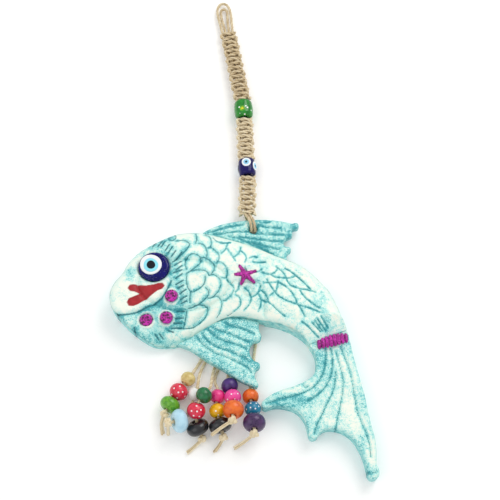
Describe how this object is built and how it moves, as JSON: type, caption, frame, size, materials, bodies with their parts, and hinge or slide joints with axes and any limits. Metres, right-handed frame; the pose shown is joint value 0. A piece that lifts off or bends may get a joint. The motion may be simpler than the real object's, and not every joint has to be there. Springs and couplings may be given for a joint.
{
  "type": "ceramic fish wall hanging",
  "caption": "Ceramic fish with a glass eye for hanging on a wall from a knotted cord strap, with a tassel of beaded cords below its belly.",
  "frame": {"origin": "centre of the ceramic fish's outline, on the surface that its back lies on", "axes": "+Z out of the fish's face, +X from nose to tail, +Y from the tassel towards the strap"},
  "size_m": [0.1855, 0.3882, 0.0231],
  "materials": {
    "glazed_clay": "turquoise wash rubbed back over ivory, satin",
    "fin_clay": "turquoise wash with fine ivory speckle, satin",
    "magenta_clay": "magenta glaze, pitted",
    "cobalt_glass": "polished opaque blue glass",
    "white_glass": "fused opaque white glass",
    "pale_blue_glass": "fused opaque pale blue glass",
    "black_glass": "fused opaque black glass",
    "hemp": "twisted natural hemp",
    "green_wood": "painted wood, polka dots",
    "gold_bead_paint": "painted wood, gloss",
    "red_polka_bead_left_paint": "painted wood, gloss",
    "lime_bead_paint": "painted wood, gloss",
    "white_bead_paint": "painted wood, gloss",
    "light_blue_bead_paint": "painted wood, gloss",
    "dark_green_bead_paint": "painted wood, gloss",
    "red_polka_bead_middle_paint": "painted wood, gloss",
    "black_bead_left_paint": "painted wood, gloss",
    "hot_pink_bead_paint": "painted wood, gloss",
    "yellow_bead_paint": "painted wood, gloss",
    "black_bead_right_paint": "painted wood, gloss",
    "purple_bead_paint": "painted wood, gloss",
    "pink_polka_bead_paint": "painted wood, gloss",
    "large_orange_bead_paint": "painted wood, gloss",
    "small_orange_bead_paint": "painted wood, gloss",
    "teal_polka_bead_paint": "painted wood, gloss",
    "dark_purple_bead_paint": "painted wood, gloss"
  },
  "bodies": {
    "fish": {"belly_fin": "fin_clay", "cheek_button_back": "magenta_clay", "cheek_button_front": "magenta_clay", "cheek_button_upper": "magenta_clay", "dorsal_fin": "fin_clay", "eye_glass": "cobalt_glass", "eye_iris": "pale_blue_glass", "eye_pupil": "black_glass", "eye_white": "white_glass", "fish_body": "glazed_clay", "starfish": "magenta_clay", "tail_band": "magenta_clay", "tail_fin": "glazed_clay"},
    "strap": {"anchor_cord_left": "hemp", "anchor_cord_right": "hemp", "hanging_loop_inner": "hemp", "hanging_loop_outer": "hemp", "strap_eye_bead": "cobalt_glass", "strap_green_bead": "green_wood", "strap_sinnet_lower": "hemp", "strap_sinnet_middle": "hemp", "strap_sinnet_upper": "hemp"},
    "tassel": {"knot_1": "hemp", "knot_2": "hemp", "knot_3": "hemp", "knot_4": "hemp", "knot_5": "hemp", "knot_6": "hemp", "strand_1": "hemp", "strand_2": "hemp", "strand_3": "hemp", "strand_4": "hemp", "strand_5": "hemp", "strand_6": "hemp", "tassel_tie": "hemp"},
    "gold_bead": {"gold_bead": "gold_bead_paint"},
    "red_polka_bead_left": {"red_polka_bead_left": "red_polka_bead_left_paint"},
    "lime_bead": {"lime_bead": "lime_bead_paint"},
    "white_bead": {"white_bead": "white_bead_paint"},
    "light_blue_bead": {"light_blue_bead": "light_blue_bead_paint"},
    "dark_green_bead": {"dark_green_bead": "dark_green_bead_paint"},
    "red_polka_bead_middle": {"red_polka_bead_middle": "red_polka_bead_middle_paint"},
    "black_bead_left": {"black_bead_left": "black_bead_left_paint"},
    "hot_pink_bead": {"hot_pink_bead": "hot_pink_bead_paint"},
    "yellow_bead": {"yellow_bead": "yellow_bead_paint"},
    "black_bead_right": {"black_bead_right": "black_bead_right_paint"},
    "purple_bead": {"purple_bead": "purple_bead_paint"},
    "pink_polka_bead": {"pink_polka_bead": "pink_polka_bead_paint"},
    "large_orange_bead": {"large_orange_bead": "large_orange_bead_paint"},
    "small_orange_bead": {"small_orange_bead": "small_orange_bead_paint"},
    "teal_polka_bead": {"teal_polka_bead": "teal_polka_bead_paint"},
    "dark_purple_bead": {"dark_purple_bead": "dark_purple_bead_paint"}
  },
  "joints": [
    {"name": "strap_swing", "type": "hinge", "parent": "fish", "child": "strap", "pos_m": [0.009, 0.0865, 0.007], "axis": [0, 0, 1], "range_deg": [-12, 12]},
    {"name": "tassel_swing", "type": "hinge", "parent": "fish", "child": "tassel", "pos_m": [0.005, 0.035, 0.0014], "axis": [0, 0, 1], "range_deg": [-12, 0.2]},
    {"name": "gold_spin", "type": "hinge", "parent": "tassel", "child": "gold_bead", "pos_m": [-0.0365, -0.025, 0.006], "axis": [-0.597, -0.796, 0.0995], "continuous": true},
    {"name": "red_polka_bead_left_spin", "type": "hinge", "parent": "tassel", "child": "red_polka_bead_left", "pos_m": [-0.04275, -0.03425, 0.0065], "axis": [-0.5264, -0.8503, 0], "continuous": true},
    {"name": "lime_spin", "type": "hinge", "parent": "tassel", "child": "lime_bead", "pos_m": [-0.04824, -0.04342, 0.00725], "axis": [-0.4895, -0.8566, 0.1632], "continuous": true},
    {"name": "white_spin", "type": "hinge", "parent": "tassel", "child": "white_bead", "pos_m": [-0.031, -0.0355, 0.0055], "axis": [-0.318, -0.848, -0.424], "continuous": true},
    {"name": "light_blue_spin", "type": "hinge", "parent": "tassel", "child": "light_blue_bead", "pos_m": [-0.04113, -0.05562, 0.01238], "axis": [-0.8842, -0.2424, 0.3993], "continuous": true},
    {"name": "dark_green_spin", "type": "hinge", "parent": "tassel", "child": "dark_green_bead", "pos_m": [-0.02475, -0.0385, 0.0145], "axis": [-0.7282, -0.6854, 0], "continuous": true},
    {"name": "red_polka_bead_middle_spin", "type": "hinge", "parent": "tassel", "child": "red_polka_bead_middle", "pos_m": [-0.03005, -0.0487, 0.0124], "axis": [-0.1584, -0.9352, -0.3168], "continuous": true},
    {"name": "black_bead_left_spin", "type": "hinge", "parent": "tassel", "child": "black_bead_left", "pos_m": [-0.02903, -0.05919, 0.00753], "axis": [0.3752, -0.7788, -0.5027], "continuous": true},
    {"name": "hot_pink_spin", "type": "hinge", "parent": "tassel", "child": "hot_pink_bead", "pos_m": [-0.01575, -0.0375, 0.00675], "axis": [-0.1482, -0.9877, 0.0494], "continuous": true},
    {"name": "yellow_spin", "type": "hinge", "parent": "tassel", "child": "yellow_bead", "pos_m": [-0.01575, -0.04775, 0.0075], "axis": [0.1408, -0.9856, 0.0939], "continuous": true},
    {"name": "black_bead_right_spin", "type": "hinge", "parent": "tassel", "child": "black_bead_right", "pos_m": [-0.01353, -0.05801, 0.00823], "axis": [0.2803, -0.9589, 0.0443], "continuous": true},
    {"name": "purple_spin", "type": "hinge", "parent": "tassel", "child": "purple_bead", "pos_m": [-0.0075, -0.03, 0.006], "axis": [0.2798, -0.8393, 0.4663], "continuous": true},
    {"name": "pink_polka_spin", "type": "hinge", "parent": "tassel", "child": "pink_polka_bead", "pos_m": [-0.00525, -0.039, 0.011], "axis": [0.1442, -0.865, 0.4806], "continuous": true},
    {"name": "large_orange_spin", "type": "hinge", "parent": "tassel", "child": "large_orange_bead", "pos_m": [-0.0047, -0.04875, 0.01603], "axis": [-0.0339, -0.9006, 0.4334], "continuous": true},
    {"name": "small_orange_spin", "type": "hinge", "parent": "tassel", "child": "small_orange_bead", "pos_m": [0.007, -0.0374, 0.0057], "axis": [0.0916, -0.8424, 0.5311], "continuous": true},
    {"name": "teal_polka_spin", "type": "hinge", "parent": "tassel", "child": "teal_polka_bead", "pos_m": [0.0085, -0.047, 0.01], "axis": [0.1891, -0.9456, 0.2648], "continuous": true},
    {"name": "dark_purple_spin", "type": "hinge", "parent": "tassel", "child": "dark_purple_bead", "pos_m": [0.0095, -0.05717, 0.01359], "axis": [0, -0.9206, 0.3905], "continuous": true}
  ]
}
